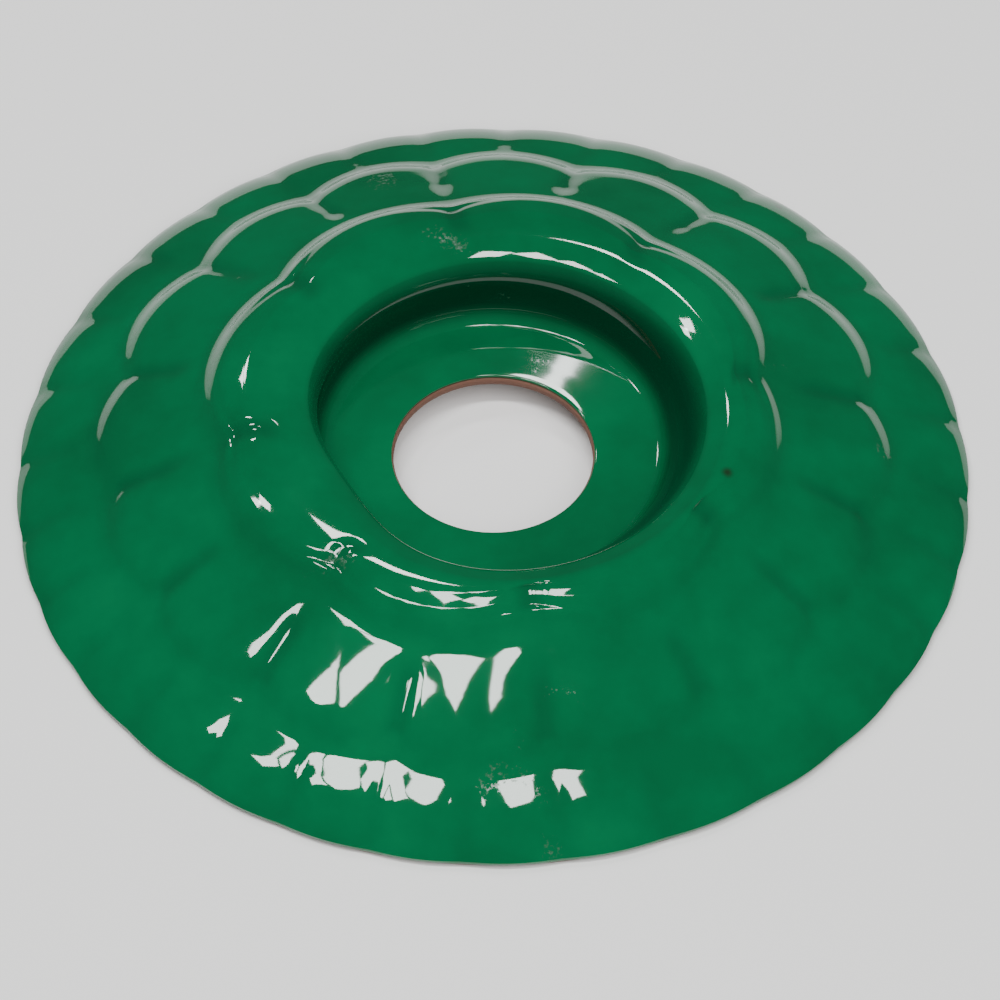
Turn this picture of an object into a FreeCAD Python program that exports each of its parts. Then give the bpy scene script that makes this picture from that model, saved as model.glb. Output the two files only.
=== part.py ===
"""Scalloped top of a drinking fountain: a fired clay dome with a drinking cup in its middle, and its glaze.

Units are millimetres. The part stands on its foot: +Z is up, and the origin is the centre of the foot, at its
resting plane. The dome steps down from a thick rolled lip in three tiers whose edges are scalloped. The cup
inside the lip has a round hole through its floor.
"""

import FreeCAD, Part

import math
import os

# Glaze and clay thickness
GLAZE = 1.0
WALL = 7.0

# Rim tier, the lowest and widest: its outline ripples
RIM_RADIUS = 150.0
RIM_RIPPLE = 2.0
RIM_HEIGHT = 6.0
RIM_ROUND = 3.5
RIM_RIPPLES = 32

# Middle tier: sixteen lobes
MID_RADIUS = 121.0
MID_SCALLOP = 6.0
MID_HEIGHT = 20.0
MID_RISER = 5.0
MID_LOBES = 16

# Top tier: eight lobes
TOP_RADIUS = 87.0
TOP_SCALLOP = 7.0
TOP_HEIGHT = 39.0
TOP_RISER = 6.0
TOP_LOBES = 8

EDGE_ROUND = 1.8
CUSP_ROUND = 4.0
TREAD_CROWN = 0.8
FIRST_CUSP_DEG = 8.7

# Rolled lip and drinking cup
LIP_RADIUS = 69.0
LIP_HEIGHT = 42.5
MOUTH_RADIUS = 60.0
MOUTH_DEPTH = 8.0
CUP_RADIUS = 54.0
CUP_CORNER = 5.0
FLOOR_HEIGHT = 13.0
FLOOR_FALL = 1.6

# Hole through the cup's floor
HOLE_RADIUS = 31.3
HOLE_FLARE = 4.0
GLAZE_SETBACK = 0.5

# Underside and foot
FOOT_WIDTH = 9.0
BASE_GAP = 5.5
GLAZE_LINE = 1.5

Z_AXIS = FreeCAD.Vector(0, 0, 1)
ORIGIN = FreeCAD.Vector(0, 0, 0)


def section_point(radius, height):
    """A point of the half section, which lies in the XZ plane."""
    return FreeCAD.Vector(radius, 0, height)


def line(start, end):
    """A straight edge of the half section between two (radius, height) pairs."""
    return Part.LineSegment(section_point(*start), section_point(*end)).toShape()


def arc(start, middle, end):
    """A round edge of the half section through three (radius, height) pairs."""
    return Part.Arc(section_point(*start), section_point(*middle), section_point(*end)).toShape()


def spin(edges):
    """The solid that a closed half section sweeps about the upright axis."""
    face = Part.Face(Part.Wire(edges))
    return face.revolve(ORIGIN, Z_AXIS, 360)


def crowned(start, end, crown):
    """An arc from start to end whose middle stands crown above their chord."""
    run, rise = end[0] - start[0], end[1] - start[1]
    length = math.hypot(run, rise)
    middle_radius = (start[0] + end[0]) / 2 - crown * rise / length
    middle_height = (start[1] + end[1]) / 2 + crown * run / length
    return arc(start, (middle_radius, middle_height), end)


def scallop_outline(apex_radius, scallop, lobes, cusp_round):
    """A closed outline of round lobes whose inward cusps are softened by small arcs.

    Each lobe is an arc through its two cusps and its apex. The cusp's arc touches both lobes beside it.
    """
    half_pitch = math.pi / lobes
    cusp_radius = apex_radius - scallop
    cusp_x = cusp_radius * math.cos(half_pitch)
    cusp_y = cusp_radius * math.sin(half_pitch)
    centre = (apex_radius ** 2 - cusp_radius ** 2) / (2 * (apex_radius - cusp_x))
    lobe = apex_radius - centre

    # The softening arc's centre lies on the cusp's ray, outside the outline.
    reach = centre * math.cos(half_pitch)
    soft_radius = reach + math.sqrt(reach ** 2 - centre ** 2 + (lobe + cusp_round) ** 2)
    soft_x = soft_radius * math.cos(half_pitch)
    soft_y = soft_radius * math.sin(half_pitch)
    share = lobe / (lobe + cusp_round)
    touch_x = centre + (soft_x - centre) * share
    touch_y = soft_y * share
    assert touch_y < cusp_y + cusp_round

    first = math.radians(FIRST_CUSP_DEG) + half_pitch
    edges = []
    for index in range(lobes):
        turn = math.degrees(first + 2 * half_pitch * index)
        about_axis = FreeCAD.Rotation(Z_AXIS, turn)

        def placed(x, y):
            return about_axis.multVec(FreeCAD.Vector(x, y, 0))

        touch = placed(touch_x, touch_y)
        edges.append(Part.Arc(placed(touch_x, -touch_y), placed(apex_radius, 0), touch).toShape())
        notch = soft_radius - cusp_round
        next_touch_x = touch_x * math.cos(2 * half_pitch) + touch_y * math.sin(2 * half_pitch)
        next_touch_y = touch_x * math.sin(2 * half_pitch) - touch_y * math.cos(2 * half_pitch)
        edges.append(Part.Arc(
            touch,
            placed(notch * math.cos(half_pitch), notch * math.sin(half_pitch)),
            placed(next_touch_x, next_touch_y),
        ).toShape())
    return Part.Wire(edges)


def tier(outline, tread, inner_height, edge_round):
    """One tier: the outline raised to its sloping tread, with the upper edge rounded.

    tread is the edge that closes the tier's half section, from its inner point outwards.
    """
    inner = tread.Vertexes[0].Point
    outer = tread.Vertexes[-1].Point
    reach = outer.x + WALL
    section = [
        line((0, 0), (0, inner_height)),
        line((0, inner_height), (inner.x, inner_height)),
        tread,
        line((outer.x, outer.z), (reach, outer.z)),
        line((reach, outer.z), (reach, 0)),
        line((reach, 0), (0, 0)),
    ]
    prism = Part.Face(outline).extrude(FreeCAD.Vector(0, 0, LIP_HEIGHT + WALL))
    solid = prism.common(spin(section))
    crest = [edge for edge in solid.Edges if is_crest(edge)]
    return solid.makeFillet(edge_round, crest)


def is_crest(edge):
    """True for the edges between a tier's tread and its upright side."""
    low = edge.BoundBox.ZMin
    centre = edge.CenterOfMass
    return low > BASE_GAP and math.hypot(centre.x, centre.y) > LIP_RADIUS and edge.BoundBox.ZLength < WALL / 2


def cup_cutter(skin):
    """The space inside the lip, above the cup's floor, for a surface that lies skin below the glaze's."""
    floor_in = FLOOR_HEIGHT - skin
    floor_out = FLOOR_HEIGHT + FLOOR_FALL - skin
    cup = CUP_RADIUS + skin
    mouth = MOUTH_RADIUS + skin
    mouth_height = LIP_HEIGHT - MOUTH_DEPTH
    crest = LIP_HEIGHT - skin
    above = LIP_HEIGHT + WALL
    corner = math.sqrt(0.5) * CUP_CORNER
    lip_middle = (
        mouth + (LIP_RADIUS - mouth) * (1 - math.sqrt(0.5)),
        mouth_height + (crest - mouth_height) * math.sqrt(0.5),
    )
    return spin([
        line((0, floor_in), (HOLE_RADIUS, floor_in)),
        line((HOLE_RADIUS, floor_in), (cup - CUP_CORNER, floor_out)),
        arc((cup - CUP_CORNER, floor_out),
            (cup - CUP_CORNER + corner, floor_out + CUP_CORNER - corner),
            (cup, floor_out + CUP_CORNER)),
        line((cup, floor_out + CUP_CORNER), (mouth, mouth_height)),
        arc((mouth, mouth_height), lip_middle, (LIP_RADIUS, crest)),
        line((LIP_RADIUS, crest), (LIP_RADIUS, above)),
        line((LIP_RADIUS, above), (0, above)),
        line((0, above), (0, floor_in)),
    ])


def dome(skin):
    """The whole raised form without its hollow, with every surface skin below the outside of the glaze."""
    rim_step = MID_HEIGHT - MID_RISER - skin
    mid_step = TOP_HEIGHT - TOP_RISER - skin
    crest = LIP_HEIGHT - skin
    rim = tier(
        scallop_outline(RIM_RADIUS - skin, RIM_RIPPLE, RIM_RIPPLES, CUSP_ROUND),
        crowned((MID_RADIUS - MID_SCALLOP, rim_step), (RIM_RADIUS, RIM_HEIGHT - skin), TREAD_CROWN),
        rim_step,
        RIM_ROUND - skin / 2,
    )
    middle = tier(
        scallop_outline(MID_RADIUS - skin, MID_SCALLOP, MID_LOBES, CUSP_ROUND),
        crowned((TOP_RADIUS - TOP_SCALLOP, mid_step), (MID_RADIUS, MID_HEIGHT - skin), TREAD_CROWN),
        mid_step,
        EDGE_ROUND,
    )
    top = tier(
        scallop_outline(TOP_RADIUS - skin, TOP_SCALLOP, TOP_LOBES, CUSP_ROUND),
        crowned((LIP_RADIUS, crest), (TOP_RADIUS, TOP_HEIGHT - skin), TREAD_CROWN),
        crest,
        EDGE_ROUND,
    )
    return rim.fuse([middle, top]).cut(cup_cutter(skin)).removeSplitter()


def hollow():
    """The open space under the dome: shallow under the cup's floor, deep between the cup and the foot."""
    foot_inner = RIM_RADIUS - RIM_RIPPLE - FOOT_WIDTH
    cup_outside = CUP_RADIUS + WALL
    neck_outside = MOUTH_RADIUS + WALL
    roof_radius = (neck_outside + TOP_RADIUS) / 2
    roof = TOP_HEIGHT - WALL
    corners = [
        (0, 0),
        (0, BASE_GAP),
        (cup_outside, BASE_GAP),
        (neck_outside, MID_HEIGHT),
        (neck_outside, roof),
        (roof_radius, roof),
        (TOP_RADIUS, TOP_HEIGHT - TOP_RISER - WALL),
        (MID_RADIUS - MID_SCALLOP, MID_HEIGHT - MID_RISER - WALL),
        (foot_inner, 0),
    ]
    return spin([line(start, end) for start, end in zip(corners, corners[1:] + corners[:1])])


def clay_body(clay_dome):
    """The fired clay: the dome with its hollow, its raised cup floor and the bare hole, which flares below."""
    hole = Part.makeCylinder(HOLE_RADIUS, FLOOR_HEIGHT)
    flare = Part.makeCone(HOLE_RADIUS + HOLE_FLARE, HOLE_RADIUS, HOLE_FLARE, FreeCAD.Vector(0, 0, BASE_GAP))
    return clay_dome.cut([hollow(), hole, flare]).removeSplitter()


def glaze_coat(glazed_dome, clay_dome):
    """The glass skin over the dome, lip and cup, from the hole's edge down to the glaze line above the foot."""
    reach = RIM_RADIUS + WALL
    below = Part.makeCylinder(reach, GLAZE_LINE)
    hole = Part.makeCylinder(HOLE_RADIUS + GLAZE_SETBACK, LIP_HEIGHT)
    return glazed_dome.cut([clay_dome, below, hole])


def main():
    """Builds the two pieces and writes each as a STEP file."""
    glazed_dome = dome(0.0)
    clay_dome = dome(GLAZE)
    nodes = {
        "clay_body": clay_body(clay_dome),
        "glaze_coat": glaze_coat(glazed_dome, clay_dome),
    }
    os.makedirs("parts", exist_ok=True)
    for name, shape in nodes.items():
        shape.exportStep(f"parts/{name}.step")
        print(name, "valid", shape.isValid(), "solids", len(shape.Solids), "volume", round(shape.Volume))


main()
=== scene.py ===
"""The looks of a scalloped drinking fountain top: a green glaze over fired clay, resting on a pale floor.

Everything is in metres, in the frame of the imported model: +Z is up and the foot rests at height 0.
"""

import logging
import math
from dataclasses import dataclass, field
from enum import Enum

import bmesh
import bpy
from mathutils import Matrix, Vector


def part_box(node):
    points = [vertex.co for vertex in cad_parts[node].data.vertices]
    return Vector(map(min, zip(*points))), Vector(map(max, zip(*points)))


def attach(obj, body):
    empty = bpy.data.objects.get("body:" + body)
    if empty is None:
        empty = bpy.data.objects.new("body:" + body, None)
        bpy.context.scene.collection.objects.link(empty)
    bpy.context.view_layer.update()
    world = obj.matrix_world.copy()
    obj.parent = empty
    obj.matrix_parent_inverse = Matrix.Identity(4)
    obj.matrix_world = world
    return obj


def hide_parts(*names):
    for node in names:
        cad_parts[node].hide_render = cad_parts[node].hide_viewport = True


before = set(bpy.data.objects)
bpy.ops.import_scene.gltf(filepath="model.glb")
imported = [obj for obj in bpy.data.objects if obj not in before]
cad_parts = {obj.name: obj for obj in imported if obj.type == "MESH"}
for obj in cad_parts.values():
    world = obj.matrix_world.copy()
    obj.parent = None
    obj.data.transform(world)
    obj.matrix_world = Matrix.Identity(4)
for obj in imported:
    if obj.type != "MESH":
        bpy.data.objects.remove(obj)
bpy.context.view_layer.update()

MM = 0.001
LOG = logging.getLogger("fountain_top")
WORKED = "worked"
POOL_AND_SHADE = "pool_and_shade"

CLAY_UNDER_GLAZE = 0.15 * MM
CUSP_SOFTNESS = 0.05

Corner = tuple[float, float, float]


class Side(Enum):
    """Which side of the wall a chain of the half section lies on."""

    SHOWN = 1.0
    UNDER = 0.0


Chain = tuple[list[Corner], float, int, Side]


def smooth_step(low: float, high: float, value: float) -> float:
    """Rises smoothly from 0 at low to 1 at high.

    Args:
        low: the value where the rise starts.
        high: the value where it ends; it may be below low.
        value: the value to place.

    Returns:
        A share from 0 to 1.
    """
    share = min(1.0, max(0.0, (value - low) / (high - low)))
    return share * share * (3.0 - 2.0 * share)


def hump(distance: float, width: float) -> float:
    """A bell that is 1 at no distance and fades over width."""
    return math.exp(-((distance / width) ** 2))


@dataclass(frozen=True)
class LobeRing:
    """One ring of lobes, pressed into the dome like overlapping scales.

    The lobes reach out to the radius edge, and the cusps between them are pulled in by scallop. The pull
    fades out over the tread above, in to the radius inner, and over the tread below, out to the radius outer.
    A point that is pulled in rides up the tread it slides along, whose slope is above_slope or below_slope.
    """

    lobes: int
    edge: float
    scallop: float
    inner: float
    outer: float
    furrow: float
    furrow_width: float
    crown: float
    above_slope: float
    below_slope: float
    pooling: float

    def place(self, turn: float) -> float:
        """How far a direction is from the nearest cusp: 0 at a cusp, 1 at the middle of a lobe.

        Args:
            turn: the direction about the axis, in radians, measured from the first cusp.

        Returns:
            The share of half a lobe.
        """
        steps = turn * self.lobes / (2.0 * math.pi)
        from_cusp = abs(steps - round(steps)) * 2.0
        return math.hypot(from_cusp, CUSP_SOFTNESS) - CUSP_SOFTNESS * (1.0 - from_cusp)

    def press(self, radius: float, share: float) -> tuple[float, float, float]:
        """How the ring moves a point: inwards along the lobes' edge, and down into the furrow between lobes.

        Args:
            radius: the point's distance from the axis.
            share: its place on the lobe, 0 at a cusp and 1 in the middle.

        Returns:
            The distance inwards, the distance down (negative where the point rides up), and how thickly the
            glaze pools there, from 0 to 1.
        """
        if not self.inner < radius < self.outer:
            return 0.0, 0.0, 0.0
        away = 1.0 - share
        near = smooth_step(self.inner, self.edge - 1.5 * MM, radius)
        near *= smooth_step(self.outer, self.edge + 3.0 * MM, radius)
        pull = self.scallop * near * away * away
        on_tread_below = smooth_step(self.edge, self.edge + 2.0 * MM, radius)
        slope = self.above_slope + (self.below_slope - self.above_slope) * on_tread_below
        along = smooth_step(self.inner, self.inner + 0.4 * (self.edge - self.inner), radius)
        along *= smooth_step(self.edge + 4.0 * MM, self.edge, radius)
        across = share * radius * math.pi / self.lobes
        sink = self.furrow * hump(across, self.furrow_width) + self.crown * away * away
        down = along * sink - pull * slope
        pooled_and_shaded = self.pooling * along * hump(across, self.furrow_width * 1.2)
        return pull, down, pooled_and_shaded


@dataclass
class DomeForm:
    """The dome's form: the half section of its glazed side, its underside, and its rings of lobes."""

    first_cusp: float = math.radians(98.7)
    glaze: float = 1.0 * MM
    hole_radius: float = 31.3 * MM
    glaze_setback: float = 0.5 * MM
    floor_height: float = 13.0 * MM
    floor_fall: float = 1.6 * MM
    cup_radius: float = 54.0 * MM
    mouth_radius: float = 59.0 * MM
    mouth_drift: tuple[float, float] = (3.5 * MM, -4.5 * MM)
    bulge: float = 6.5 * MM
    bulge_angle: float = math.radians(-150.0)
    bulge_width: float = 0.5
    lip_radius: float = 69.0 * MM
    base_gap: float = 5.5 * MM
    hole_flare: float = 4.0 * MM
    glaze_line: float = 1.5 * MM
    foot_inner: float = 139.0 * MM
    sectors: int = 16
    sector_steps: int = 30
    rim_radius: float = field(init=False)
    lip_height: float = field(init=False)
    rings: tuple[LobeRing, ...] = field(init=False)
    directions: dict[float, tuple[float, ...]] = field(default_factory=dict)

    def __post_init__(self) -> None:
        """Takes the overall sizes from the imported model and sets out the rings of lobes."""
        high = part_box("glaze_coat")[1]
        self.rim_radius = min(high.x, high.y) - 0.2 * MM
        self.lip_height = high.z - 0.3 * MM
        self.rings = (
            LobeRing(
                lobes=8, edge=86.5 * MM, scallop=6.0 * MM, inner=70.0 * MM, outer=104.0 * MM,
                furrow=0.5 * MM, furrow_width=2.4 * MM, crown=0.5 * MM,
                above_slope=0.2, below_slope=0.42, pooling=0.3,
            ),
            LobeRing(
                lobes=16, edge=120.5 * MM, scallop=5.0 * MM, inner=94.0 * MM, outer=134.0 * MM,
                furrow=0.5 * MM, furrow_width=2.2 * MM, crown=0.5 * MM,
                above_slope=0.3, below_slope=0.25, pooling=0.25,
            ),
            LobeRing(
                lobes=32, edge=self.rim_radius - 1.0 * MM, scallop=1.0 * MM,
                inner=126.0 * MM, outer=160.0 * MM,
                furrow=0.25 * MM, furrow_width=2.6 * MM, crown=0.3 * MM,
                above_slope=0.2, below_slope=0.2, pooling=0.1,
            ),
        )

    def shown_corners(self, skin: float) -> list[Corner]:
        """The half section of the glazed side, from the hole to the foot.

        Args:
            skin: how far below the outside of the glaze the surface lies.

        Returns:
            A list of (radius, height, rounding).
        """
        top = self.lip_height
        rim = self.rim_radius - skin
        cup_floor = [
            (self.hole_radius + self.glaze_setback + 0.4 * MM, self.floor_height - skin, 0.35 * MM),
            (self.cup_radius - 9.0 * MM, self.floor_height + 0.9 * MM - skin, 6.0 * MM),
            (self.cup_radius + skin, self.floor_height + self.floor_fall - skin, 5.0 * MM),
        ]
        lip = [
            (self.mouth_radius + skin, top - 9.0 * MM - skin, 6.0 * MM),
            (self.lip_radius - 6.0 * MM, top - 3.2 * MM - skin, 6.0 * MM),
            (self.lip_radius + 3.0 * MM, top - skin, 9.0 * MM),
            (self.lip_radius + 9.0 * MM, top - 0.9 * MM - skin, 6.0 * MM),
        ]
        tiers = [
            (86.0 * MM - skin, 38.7 * MM - skin, 3.0 * MM),
            (92.3 * MM - skin, 31.9 * MM - skin, 2.8 * MM),
            (106.0 * MM, 27.0 * MM - skin, 9.0 * MM),
            (120.0 * MM - skin, 21.0 * MM - skin, 3.0 * MM),
            (126.0 * MM - skin, 15.4 * MM - skin, 2.6 * MM),
            (140.5 * MM, 10.1 * MM - skin, 5.0 * MM),
        ]
        rim_edge = [
            (rim - 1.4 * MM, 4.6 * MM - 0.7 * skin, 2.4 * MM),
            (rim, 2.8 * MM, 0.8 * MM),
        ]
        return cup_floor + lip + tiers + rim_edge

    def under_corners(self) -> list[Corner]:
        """The half section of the bare side, from the foot round the hollow to the hole.

        Returns:
            A list of (radius, height, rounding).
        """
        cup_outside = self.cup_radius + 7.0 * MM
        return [
            (self.rim_radius - self.glaze - 0.6 * MM, 0.0, 0.5 * MM),
            (self.foot_inner, 0.0, 1.2 * MM),
            (115.0 * MM, 7.0 * MM, 9.0 * MM),
            (87.0 * MM, 25.0 * MM, 9.0 * MM),
            (77.0 * MM, 32.0 * MM, 5.0 * MM),
            (cup_outside + 7.0 * MM, 32.0 * MM, 4.0 * MM),
            (cup_outside, self.base_gap, 3.0 * MM),
            (self.hole_radius + self.hole_flare, self.base_gap, 1.5 * MM),
        ]

    def shares_at(self, angle: float) -> tuple[float, ...]:
        """The place on the lobes of each ring in one direction, worked out once for each direction.

        Args:
            angle: the direction about the axis, in radians.

        Returns:
            One share for each ring, 0 at a cusp and 1 in the middle of a lobe.
        """
        if angle not in self.directions:
            wander = 0.018 * math.sin(3.0 * angle + 1.1) + 0.012 * math.sin(5.0 * angle + 2.3)
            turn = angle - self.first_cusp + wander
            self.directions[angle] = tuple(ring.place(turn) for ring in self.rings)
        return self.directions[angle]

    def reshape(self, point: Vector) -> tuple[Vector, float]:
        """Moves a point of the plain turned dome to its place on the scalloped one.

        Args:
            point: the point on the turned dome.

        Returns:
            The new point, and how dark the glaze is painted there, from 0 to 1: pooled glaze in the furrows,
            and on the cup's wall thick glaze with painted shade.
        """
        radius = math.hypot(point.x, point.y)
        angle = math.atan2(point.y, point.x)
        shares = self.shares_at(round(angle, 6))
        inwards = 0.0
        down = 0.0
        pooled_and_shaded = 0.0
        for ring, share in zip(self.rings, shares):
            pull, sink, furrow = ring.press(radius, share)
            inwards += pull
            down += sink
            pooled_and_shaded = max(pooled_and_shaded, furrow)
        above_foot = smooth_step(0.0, 5.0 * MM, point.z)

        # The cup's wall is painted darker: partly thick glaze, partly painted shade inside the cup.
        wall = smooth_step(50.0 * MM, 54.0 * MM, radius) * smooth_step(64.0 * MM, 58.0 * MM, radius)
        pooled_and_shaded = max(pooled_and_shaded, wall * smooth_step(self.floor_height + 2.0 * MM, 21.0 * MM, point.z))
        new_radius = radius - inwards * (0.25 + 0.75 * above_foot)
        sunk = min(down * above_foot, 0.6 * point.z)

        # The mouth of the cup drifts off centre, and the lip bulges into it on one side.
        mouth = smooth_step(52.0 * MM, 60.0 * MM, radius) * smooth_step(82.0 * MM, 66.0 * MM, radius)
        drift = mouth * smooth_step(self.floor_height + 4.0 * MM, self.lip_height - 6.0 * MM, point.z)
        past_bulge = math.remainder(angle - self.bulge_angle, 2.0 * math.pi)
        new_radius -= self.bulge * drift * hump(past_bulge, self.bulge_width)
        return Vector((
            new_radius * math.cos(angle) + drift * self.mouth_drift[0],
            new_radius * math.sin(angle) + drift * self.mouth_drift[1],
            point.z - sunk,
        )), pooled_and_shaded


def corner_chain(corners: list[Corner], pitch: float, rounding_steps: int, side: Side) -> bpy.types.Mesh:
    """Makes an open chain of edges through the corners, with the corners rounded and long runs divided.

    Args:
        corners: (radius, height, rounding) of each corner; the two ends stay sharp.
        pitch: the longest edge left on a straight run.
        rounding_steps: how many edges round each corner.
        side: which side of the wall the chain is on.

    Returns:
        The chain as a mesh that the turned piece takes in.
    """
    bm = bmesh.new()
    verts = [bm.verts.new((radius, 0.0, height)) for radius, height, _ in corners]
    for start, end in zip(verts, verts[1:]):
        bm.edges.new((start, end))
    for vert, corner in list(zip(verts, corners))[1:-1]:
        bmesh.ops.bevel(bm, geom=[vert], offset=corner[2], offset_type="OFFSET", segments=rounding_steps,
                        profile=0.5, affect="VERTICES", material=-1)
    for edge in bm.edges[:]:
        cuts = int(edge.calc_length() / pitch)
        if cuts:
            bmesh.ops.subdivide_edges(bm, edges=[edge], cuts=cuts)
    layer = bm.verts.layers.float.new(WORKED)
    for vert in bm.verts:
        vert[layer] = side.value
    chain = bpy.data.meshes.new("chain")
    bm.to_mesh(chain)
    bm.free()
    return chain


def turn_half_section(bm: bmesh.types.BMesh, sectors: int, steps: int) -> None:
    """Turns a closed half section about the upright axis: one sector is spun, then repeated all round.

    Args:
        bm: the mesh that holds the half section.
        sectors: how many equal sectors make the full turn.
        steps: how many steps each sector has.
    """
    angle = 2.0 * math.pi / sectors
    bmesh.ops.spin(bm, geom=bm.verts[:] + bm.edges[:], cent=(0.0, 0.0, 0.0), axis=(0.0, 0.0, 1.0),
                   angle=angle, steps=steps, use_merge=False, use_duplicate=False)
    sector = bm.verts[:] + bm.edges[:] + bm.faces[:]
    for index in range(1, sectors):
        copy = bmesh.ops.duplicate(bm, geom=sector)["geom"]
        verts = [item for item in copy if isinstance(item, bmesh.types.BMVert)]
        bmesh.ops.rotate(bm, cent=(0.0, 0.0, 0.0), matrix=Matrix.Rotation(angle * index, 3, "Z"), verts=verts)
    bmesh.ops.remove_doubles(bm, verts=bm.verts[:], dist=0.005 * MM)


@dataclass
class TurnedPiece:
    """A piece turned from a closed half section, then pressed into lobes on its worked side."""

    form: DomeForm
    name: str
    node: str
    slot: str

    def chains(self) -> list[Chain]:
        """The chains of the closed half section."""
        raise NotImplementedError

    def build(self) -> bpy.types.Object:
        """Turns the half section, presses the lobes and stores how the glaze pools.

        Returns:
            The finished object, which stands for its CAD node.
        """
        bm = bmesh.new()
        for corners, pitch, rounding_steps, side in self.chains():
            chain = corner_chain(corners, pitch, rounding_steps, side)
            bm.from_mesh(chain)
            bpy.data.meshes.remove(chain)
        bmesh.ops.remove_doubles(bm, verts=bm.verts[:], dist=0.02 * MM)
        turn_half_section(bm, self.form.sectors, self.form.sector_steps)
        bmesh.ops.recalc_face_normals(bm, faces=bm.faces[:])
        pool_and_shade = bm.verts.layers.float.new(POOL_AND_SHADE)
        worked = bm.verts.layers.float[WORKED]
        for vert in bm.verts:
            if vert[worked] > 0.5:
                vert.co, vert[pool_and_shade] = self.form.reshape(vert.co)
        for face in bm.faces:
            face.smooth = True
        mesh = bpy.data.meshes.new(self.name)
        bm.to_mesh(mesh)
        bm.free()
        piece = bpy.data.objects.new(self.name, mesh)
        bpy.context.scene.collection.objects.link(piece)
        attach(piece, "root")
        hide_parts(self.node)
        LOG.info("%s: %d faces", self.name, len(mesh.polygons))
        return piece


@dataclass
class GlazeSkin(TurnedPiece):
    """The green glass over the dome, the lip and the cup."""

    name: str = "glaze_skin"
    node: str = "glaze_coat"
    slot: str = "green_glaze"

    def chains(self) -> list[Chain]:
        """The outside of the glaze, and its inside against the clay."""
        form = self.form
        outside = form.shown_corners(0.0)
        inside = form.shown_corners(form.glaze)
        edge_radius = form.hole_radius + form.glaze_setback
        edge = (edge_radius, form.floor_height - 0.3 * MM, 0.0)
        edge_foot = (edge_radius, form.floor_height - form.glaze, 0.0)
        line = (form.rim_radius - 0.3 * MM, form.glaze_line, 0.0)
        line_foot = (form.rim_radius - form.glaze, form.glaze_line, 0.0)
        return [
            ([edge, *outside, line], 1.9 * MM, 5, Side.SHOWN),
            ([edge_foot, *inside, line_foot], 4.0 * MM, 2, Side.SHOWN),
            ([edge, edge_foot], 2.0 * MM, 1, Side.SHOWN),
            ([line, line_foot], 2.0 * MM, 1, Side.SHOWN),
        ]


@dataclass
class ClayShell(TurnedPiece):
    """The fired clay under the glaze, bare at the hole, the foot and the underside."""

    name: str = "clay_shell"
    node: str = "clay_body"
    slot: str = "fired_clay"

    def chains(self) -> list[Chain]:
        """The clay's glazed side, its foot and underside, and the bare wall of the hole."""
        form = self.form
        covered = form.shown_corners(form.glaze + CLAY_UNDER_GLAZE)
        wall_top = (form.hole_radius, form.floor_height - form.glaze - CLAY_UNDER_GLAZE, 0.0)
        foot = (form.rim_radius - form.glaze, 0.6 * MM, 0.0)
        wall_foot = (form.hole_radius, form.base_gap + form.hole_flare, 0.0)
        return [
            ([wall_top, *covered, foot], 3.0 * MM, 3, Side.SHOWN),
            ([foot, *form.under_corners(), wall_foot], 5.0 * MM, 4, Side.UNDER),
            ([wall_foot, wall_top], 2.0 * MM, 1, Side.UNDER),
        ]


class Nodes:
    """A short hand for adding and joining the nodes of one tree."""

    def __init__(self, tree: bpy.types.NodeTree) -> None:
        """Keeps the tree."""
        self.tree = tree

    def add(self, kind: str, **settings: object) -> bpy.types.Node:
        """Adds a node.

        Args:
            kind: the node's type name.
            settings: properties of the node, or default values of inputs named with underscores for spaces.

        Returns:
            The new node.
        """
        node = self.tree.nodes.new(kind)
        for key, value in settings.items():
            if key in node.bl_rna.properties:
                setattr(node, key, value)
            else:
                node.inputs[key.replace("_", " ")].default_value = value
        return node

    def join(self, output: bpy.types.NodeSocket, entry: bpy.types.NodeSocket) -> None:
        """Joins an output to an input."""
        self.tree.links.new(output, entry)


def group_tree(name: str, inputs: dict[str, float], outputs: list[str]) -> tuple[bpy.types.NodeTree, Nodes]:
    """A new shader group that takes a point and some numbers and puts out numbers.

    Args:
        name: the group's name.
        inputs: the name and first value of each number that goes in.
        outputs: the names of the numbers that come out.

    Returns:
        The group and the helper that fills it.
    """
    tree = bpy.data.node_groups.new(name, "ShaderNodeTree")
    tree.interface.new_socket("Point", in_out="INPUT", socket_type="NodeSocketVector")
    for key, value in inputs.items():
        tree.interface.new_socket(key, in_out="INPUT", socket_type="NodeSocketFloat").default_value = value
    for key in outputs:
        tree.interface.new_socket(key, in_out="OUTPUT", socket_type="NodeSocketFloat")
    return tree, Nodes(tree)


def mottle_group() -> bpy.types.NodeTree:
    """Broad and fine cloudiness, mixed: how thick or how dark a fired surface is from place to place."""
    tree, nodes = group_tree("mottle", {"Broad": 14.0, "Fine": 90.0, "Fine Share": 0.3}, ["Amount"])
    entry = nodes.add("NodeGroupInput")
    leave = nodes.add("NodeGroupOutput")
    broad = nodes.add("ShaderNodeTexNoise", Detail=2.0, Roughness=0.5)
    fine = nodes.add("ShaderNodeTexNoise", Detail=3.0, Roughness=0.6)
    for noise, scale in ((broad, "Broad"), (fine, "Fine")):
        nodes.join(entry.outputs["Point"], noise.inputs["Vector"])
        nodes.join(entry.outputs[scale], noise.inputs["Scale"])
    mix = nodes.add("ShaderNodeMix", data_type="FLOAT")
    nodes.join(entry.outputs["Fine Share"], mix.inputs[0])
    nodes.join(broad.outputs["Fac"], mix.inputs[2])
    nodes.join(fine.outputs["Fac"], mix.inputs[3])
    nodes.join(mix.outputs[0], leave.inputs["Amount"])
    return tree


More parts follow.
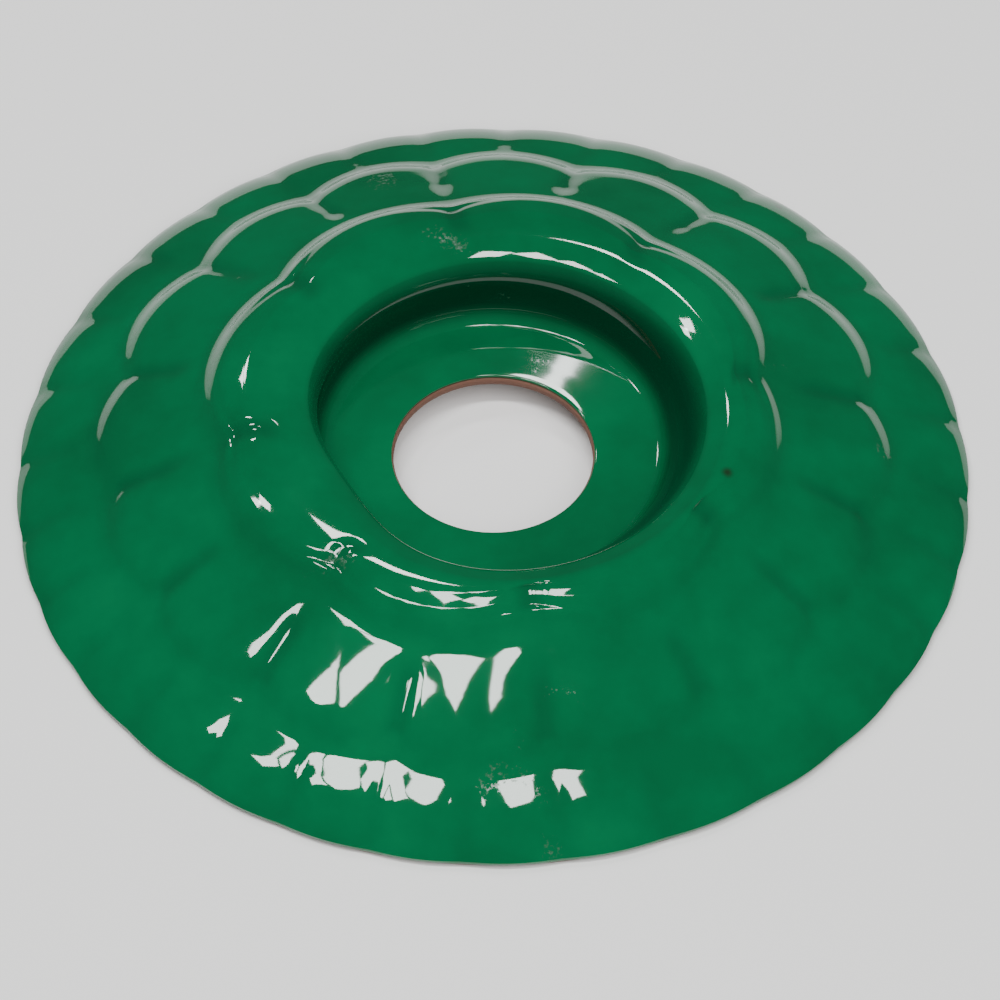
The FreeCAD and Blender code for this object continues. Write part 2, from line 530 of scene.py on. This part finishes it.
def speck_group() -> bpy.types.NodeTree:
    """Scattered specks of iron, as a mask that is 1 on a speck."""
    tree, nodes = group_tree("specks", {"Spacing": 60.0, "Size": 0.12, "Rarity": 0.8}, ["Mask"])
    entry = nodes.add("NodeGroupInput")
    leave = nodes.add("NodeGroupOutput")
    cells = nodes.add("ShaderNodeTexVoronoi", feature="F1")
    nodes.join(entry.outputs["Point"], cells.inputs["Vector"])
    nodes.join(entry.outputs["Spacing"], cells.inputs["Scale"])
    split = nodes.add("ShaderNodeSeparateColor")
    nodes.join(cells.outputs["Color"], split.inputs[0])
    chosen = nodes.add("ShaderNodeMath", operation="GREATER_THAN")
    nodes.join(split.outputs[0], chosen.inputs[0])
    nodes.join(entry.outputs["Rarity"], chosen.inputs[1])
    size = nodes.add("ShaderNodeMath", operation="MULTIPLY")
    nodes.join(entry.outputs["Size"], size.inputs[0])
    nodes.join(split.outputs[1], size.inputs[1])
    inside = nodes.add("ShaderNodeMapRange", interpolation_type="SMOOTHSTEP", To_Min=1.0, To_Max=0.0)
    inside.inputs["From Min"].default_value = 0.0
    nodes.join(cells.outputs["Distance"], inside.inputs["Value"])
    nodes.join(size.outputs[0], inside.inputs["From Max"])
    mask = nodes.add("ShaderNodeMath", operation="MULTIPLY")
    nodes.join(inside.outputs["Result"], mask.inputs[0])
    nodes.join(chosen.outputs[0], mask.inputs[1])
    nodes.join(mask.outputs[0], leave.inputs["Mask"])
    return tree


@dataclass(frozen=True)
class SharedGroups:
    """The shader groups that more than one finish uses."""

    mottle: bpy.types.NodeTree
    specks: bpy.types.NodeTree


@dataclass(frozen=True)
class GreenGlaze:
    """A deep green glass glaze, darker where it pools and with painted shade on the cup's wall, with a few
    iron specks and dull grey patches.
    """

    thin: tuple[float, float, float, float] = (0.0, 0.135, 0.047, 1.0)
    thick: tuple[float, float, float, float] = (0.0, 0.1, 0.034, 1.0)
    # The dark colour of pooled glaze, also used as painted shade on the cup's wall.
    pooled_and_shaded: tuple[float, float, float, float] = (0.0, 0.035, 0.014, 1.0)
    bloom: tuple[float, float, float, float] = (0.05, 0.12, 0.075, 1.0)
    speck: tuple[float, float, float, float] = (0.01, 0.03, 0.012, 1.0)
    roughness: float = 0.035

    def material(self, groups: SharedGroups) -> bpy.types.Material:
        """Makes the material.

        Args:
            groups: the shared shader groups.

        Returns:
            The material.
        """
        made = bpy.data.materials.new("green_glaze_fired")
        made.use_nodes = True
        nodes = Nodes(made.node_tree)
        shader = made.node_tree.nodes["Principled BSDF"]
        shader.inputs["IOR"].default_value = 1.5
        point = nodes.add("ShaderNodeTexCoord").outputs["Object"]
        cloud = nodes.add("ShaderNodeGroup", node_tree=groups.mottle, Broad=22.0, Fine=120.0, Fine_Share=0.25)
        nodes.join(point, cloud.inputs["Point"])
        depth = nodes.add("ShaderNodeMapRange", From_Min=0.35, From_Max=0.65)
        nodes.join(cloud.outputs["Amount"], depth.inputs["Value"])
        body = nodes.add("ShaderNodeMix", data_type="RGBA")
        body.inputs[6].default_value = self.thin
        body.inputs[7].default_value = self.thick
        nodes.join(depth.outputs["Result"], body.inputs[0])
        # This attribute darkens the glaze: pooled glaze in the furrows, and painted shade on the cup's wall.
        furrow = nodes.add("ShaderNodeAttribute", attribute_name=POOL_AND_SHADE)
        pooled_and_shaded = nodes.add("ShaderNodeMix", data_type="RGBA")
        pooled_and_shaded.inputs[7].default_value = self.pooled_and_shaded
        nodes.join(furrow.outputs["Fac"], pooled_and_shaded.inputs[0])
        nodes.join(body.outputs[2], pooled_and_shaded.inputs[6])
        iron = nodes.add("ShaderNodeGroup", node_tree=groups.specks, Spacing=42.0, Size=0.16, Rarity=0.9)
        nodes.join(point, iron.inputs["Point"])
        colour = nodes.add("ShaderNodeMix", data_type="RGBA")
        colour.inputs[7].default_value = self.speck
        nodes.join(iron.outputs["Mask"], colour.inputs[0])
        nodes.join(pooled_and_shaded.outputs[2], colour.inputs[6])
        dull = nodes.add("ShaderNodeGroup", node_tree=groups.mottle, Broad=26.0, Fine=700.0, Fine_Share=0.22)
        nodes.join(point, dull.inputs["Point"])
        scar = nodes.add("ShaderNodeMapRange", From_Min=0.7, From_Max=0.75)
        nodes.join(dull.outputs["Amount"], scar.inputs["Value"])
        stained = nodes.add("ShaderNodeMix", data_type="RGBA")
        stained.inputs[7].default_value = self.bloom
        nodes.join(scar.outputs["Result"], stained.inputs[0])
        nodes.join(colour.outputs[2], stained.inputs[6])
        nodes.join(stained.outputs[2], shader.inputs["Base Color"])
        gloss = nodes.add("ShaderNodeMapRange", To_Min=self.roughness, To_Max=self.roughness * 10.0)
        nodes.join(scar.outputs["Result"], gloss.inputs["Value"])
        nodes.join(gloss.outputs["Result"], shader.inputs["Roughness"])
        waves = nodes.add("ShaderNodeTexNoise", Scale=40.0, Detail=1.0)
        nodes.join(point, waves.inputs["Vector"])
        bump = nodes.add("ShaderNodeBump", Strength=0.15, Distance=0.8 * MM)
        nodes.join(waves.outputs["Fac"], bump.inputs["Height"])
        nodes.join(bump.outputs["Normal"], shader.inputs["Normal"])
        return made


@dataclass(frozen=True)
class BareClay:
    """Red-brown fired clay: dry, gritty, with paler dust and dark iron specks."""

    red: tuple[float, float, float, float] = (0.11, 0.045, 0.03, 1.0)
    pale: tuple[float, float, float, float] = (0.2, 0.105, 0.075, 1.0)
    speck: tuple[float, float, float, float] = (0.04, 0.03, 0.025, 1.0)

    def material(self, groups: SharedGroups) -> bpy.types.Material:
        """Makes the material.

        Args:
            groups: the shared shader groups.

        Returns:
            The material.
        """
        made = bpy.data.materials.new("fired_clay_bare")
        made.use_nodes = True
        nodes = Nodes(made.node_tree)
        shader = made.node_tree.nodes["Principled BSDF"]
        shader.inputs["IOR"].default_value = 1.45
        point = nodes.add("ShaderNodeTexCoord").outputs["Object"]
        cloud = nodes.add("ShaderNodeGroup", node_tree=groups.mottle, Broad=35.0, Fine=900.0, Fine_Share=0.5)
        nodes.join(point, cloud.inputs["Point"])
        body = nodes.add("ShaderNodeMix", data_type="RGBA")
        body.inputs[6].default_value = self.red
        body.inputs[7].default_value = self.pale
        nodes.join(cloud.outputs["Amount"], body.inputs[0])
        iron = nodes.add("ShaderNodeGroup", node_tree=groups.specks, Spacing=260.0, Size=0.45, Rarity=0.7)
        nodes.join(point, iron.inputs["Point"])
        colour = nodes.add("ShaderNodeMix", data_type="RGBA")
        colour.inputs[7].default_value = self.speck
        nodes.join(iron.outputs["Mask"], colour.inputs[0])
        nodes.join(body.outputs[2], colour.inputs[6])
        nodes.join(colour.outputs[2], shader.inputs["Base Color"])
        dry = nodes.add("ShaderNodeMapRange", To_Min=0.75, To_Max=0.95)
        nodes.join(cloud.outputs["Amount"], dry.inputs["Value"])
        nodes.join(dry.outputs["Result"], shader.inputs["Roughness"])
        bump = nodes.add("ShaderNodeBump", Strength=0.5, Distance=0.3 * MM)
        nodes.join(cloud.outputs["Amount"], bump.inputs["Height"])
        nodes.join(bump.outputs["Normal"], shader.inputs["Normal"])
        return made


@dataclass(frozen=True)
class Lamp:
    """One flat lamp that points at the middle of the dome."""

    name: str
    place: tuple[float, float, float]
    width: float
    height: float
    watts: float
    mirrored: bool = True

    def hang(self) -> None:
        """Adds the lamp; one that is not mirrored lights the glaze without showing in it."""
        data = bpy.data.lights.new(self.name, "AREA")
        data.shape = "RECTANGLE"
        data.size = self.width
        data.size_y = self.height
        data.energy = self.watts
        lamp = bpy.data.objects.new(self.name, data)
        lamp.location = self.place
        lamp.rotation_euler = (-Vector(self.place)).to_track_quat("-Z", "Y").to_euler()
        lamp.visible_glossy = self.mirrored
        bpy.context.scene.collection.objects.link(lamp)


@dataclass(frozen=True)
class CeilingStrip:
    """A straight row of ceiling panels with bars between them."""

    name: str
    middle: tuple[float, float, float]
    panels: int
    panel_length: float
    panel_width: float
    brightness: float
    bar: float = 0.05

    def hang(self) -> None:
        """Hangs the panels side by side along X, all facing the dome."""
        pitch = self.panel_length + self.bar
        watts = self.brightness * math.pi * self.panel_length * self.panel_width
        for index in range(self.panels):
            across = (index - (self.panels - 1) / 2.0) * pitch
            place = (self.middle[0] + across, self.middle[1], self.middle[2])
            Lamp(f"{self.name}_{index}", place, self.panel_length, self.panel_width, watts).hang()


@dataclass(frozen=True)
class Studio:
    """The pale floor, the lamps, the dim room and the camera."""

    floor_half: float = 3.0
    floor_colour: tuple[float, float, float, float] = (0.97, 0.97, 0.96, 1.0)
    room: tuple[float, float, float, float] = (0.9, 0.95, 1.0, 1.0)
    room_strength: float = 0.08
    camera_distance: float = 1.545
    camera_lift: float = math.radians(50.5)
    lens: float = 176.5
    shift: tuple[float, float] = (0.0068, -0.0209)

    def lay_floor(self) -> None:
        """Adds the plain floor under the foot."""
        bm = bmesh.new()
        bmesh.ops.create_grid(bm, x_segments=1, y_segments=1, size=self.floor_half)
        mesh = bpy.data.meshes.new("floor")
        bm.to_mesh(mesh)
        bm.free()
        floor = bpy.data.objects.new("floor", mesh)
        bpy.context.scene.collection.objects.link(floor)
        made = bpy.data.materials.new("floor_paper")
        made.use_nodes = True
        nodes = Nodes(made.node_tree)
        shader = made.node_tree.nodes["Principled BSDF"]
        shader.inputs["Roughness"].default_value = 0.9
        shader.inputs["Base Color"].default_value = self.floor_colour
        mesh.materials.append(made)

    def light(self) -> None:
        """Hangs the lamps and sets the dim light of the room."""
        for strip in (
            CeilingStrip("overhead", (-0.4, -0.2, 2.1), 4, 0.24, 0.28, brightness=34.0, bar=0.1),
            CeilingStrip("back", (-0.14, 1.12, 1.8), 1, 0.17, 0.2, brightness=40.0),
            CeilingStrip("back_left", (-0.8, 1.35, 1.35), 2, 0.12, 0.12, brightness=40.0, bar=0.03),
            CeilingStrip("left", (-1.0, 0.7, 1.6), 2, 0.12, 0.12, brightness=40.0, bar=0.03),
        ):
            strip.hang()
        Lamp("soft_fill", (0.6, -1.2, 1.8), 2.2, 2.2, watts=50.0, mirrored=False).hang()
        world = bpy.data.worlds.new("room")
        bpy.context.scene.world = world
        world.use_nodes = True
        background = world.node_tree.nodes["Background"]
        background.inputs["Color"].default_value = self.room
        background.inputs["Strength"].default_value = self.room_strength

    def aim(self) -> None:
        """Places the camera in front of the dome, looking down at its middle."""
        data = bpy.data.cameras.new("camera")
        data.lens = self.lens
        data.shift_x, data.shift_y = self.shift
        camera = bpy.data.objects.new("camera", data)
        camera.location = (0.0, -self.camera_distance * math.cos(self.camera_lift),
                           self.camera_distance * math.sin(self.camera_lift))
        camera.rotation_euler = (math.pi / 2.0 - self.camera_lift, 0.0, 0.0)
        bpy.context.scene.collection.objects.link(camera)
        bpy.context.scene.camera = camera


def main() -> None:
    """Builds the fountain top and the studio round it."""
    logging.basicConfig(level=logging.INFO, format="%(name)s: %(message)s")
    studio = Studio()
    studio.aim()
    form = DomeForm()
    groups = SharedGroups(mottle_group(), speck_group())
    glaze = GlazeSkin(form=form).build()
    glaze.data.materials.append(GreenGlaze().material(groups))
    clay = ClayShell(form=form).build()
    clay.data.materials.append(BareClay().material(groups))
    studio.lay_floor()
    studio.light()


if __name__ == "__main__":
    main()
